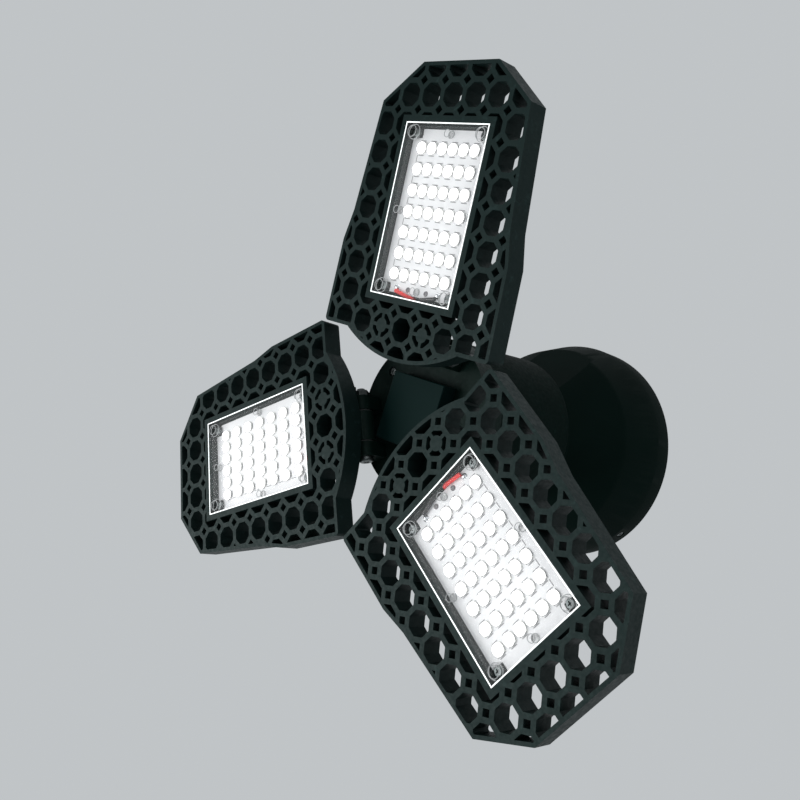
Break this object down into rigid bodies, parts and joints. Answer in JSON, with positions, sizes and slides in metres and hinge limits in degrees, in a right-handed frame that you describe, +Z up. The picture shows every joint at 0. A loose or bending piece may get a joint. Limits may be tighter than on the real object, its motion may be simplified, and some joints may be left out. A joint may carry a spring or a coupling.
{
  "type": "deformable ceiling light",
  "caption": "Garage ceiling light with hinged lattice wings, each with a window of emitters, on a round hub that screws into a bell-shaped ceiling fitting.",
  "frame": {"origin": "centre of the fitting's ceiling face", "axes": "+Z up into the ceiling, -Y along the front wing, +X to the right of it seen from below with the ceiling away from the viewer"},
  "size_m": [0.287, 0.2571, 0.1705],
  "materials": {
    "canopy": "satin, fine mould texture",
    "insulator": "heat-resistant moulding",
    "socket_brass": "pressed sheet",
    "base_metal": "nickel-plated sheet",
    "glass_bead": "black glass bead",
    "housing": "satin powder coat",
    "screw_steel": "zinc-plated",
    "board_green": "solder mask",
    "coil_tape": "wound tape",
    "can_sleeve": "shrink sleeve",
    "chip_black": "moulded packages",
    "cap": "satin moulding",
    "wing_black": "satin powder coat on die casting",
    "led_board": "white solder mask on aluminium",
    "emitter": "moulded lens over a lit package",
    "clear_cover": "clear moulding, gloss",
    "screw_dark": "black zinc",
    "lead": "insulated wire",
    "bracket": "satin powder coat",
    "bolt": "dark zinc",
    "washer": "hard fibre"
  },
  "bodies": {
    "root": {"canopy_shell": "canopy", "back_plate": "canopy", "side_screws": "screw_steel", "socket_cup": "insulator", "cup_screws": "screw_steel", "socket_shell": "socket_brass", "socket_contact": "socket_brass", "terminal_screws": "socket_brass", "base_shell": "base_metal", "base_insulator": "glass_bead", "base_contact": "base_metal", "driver_housing": "housing", "housing_screws": "screw_steel", "driver_board": "board_green", "driver_screws": "screw_steel", "transformer": "coil_tape", "capacitors": "can_sleeve", "board_chips": "chip_black", "hub_body": "housing", "hub_cap": "cap", "hinge_bolt_front": "bolt", "hinge_nut_front": "bolt", "friction_washers_front": "washer", "hinge_bolt_right": "bolt", "hinge_nut_right": "bolt", "friction_washers_right": "washer", "hinge_bolt_left": "bolt", "hinge_nut_left": "bolt", "friction_washers_left": "washer"},
    "wing_front": {"wing_frame_front": "wing_black", "led_board_front": "led_board", "leds_front": "emitter", "lens_cover_front": "clear_cover", "cover_screws_front": "screw_dark", "board_leads_front": "lead", "hinge_bracket_front": "bracket", "bracket_screws_front": "screw_dark"},
    "wing_right": {"wing_frame_right": "wing_black", "led_board_right": "led_board", "leds_right": "emitter", "lens_cover_right": "clear_cover", "cover_screws_right": "screw_dark", "board_leads_right": "lead", "hinge_bracket_right": "bracket", "bracket_screws_right": "screw_dark"},
    "wing_left": {"wing_frame_left": "wing_black", "led_board_left": "led_board", "leds_left": "emitter", "lens_cover_left": "clear_cover", "cover_screws_left": "screw_dark", "board_leads_left": "lead", "hinge_bracket_left": "bracket", "bracket_screws_left": "screw_dark"}
  },
  "joints": [
    {"name": "wing_front_hinge", "type": "hinge", "parent": "root", "child": "wing_front", "pos_m": [0, -0.029, -0.13865], "axis": [-1, 0, 0], "range_deg": [0, 76]},
    {"name": "wing_right_hinge", "type": "hinge", "parent": "root", "child": "wing_right", "pos_m": [0.02511, 0.0145, -0.13865], "axis": [0.5, -0.866, 0], "range_deg": [-7.3, 68.7]},
    {"name": "wing_left_hinge", "type": "hinge", "parent": "root", "child": "wing_left", "pos_m": [-0.02511, 0.0145, -0.13865], "axis": [0.5, 0.866, 0], "range_deg": [-6, 70]}
  ]
}
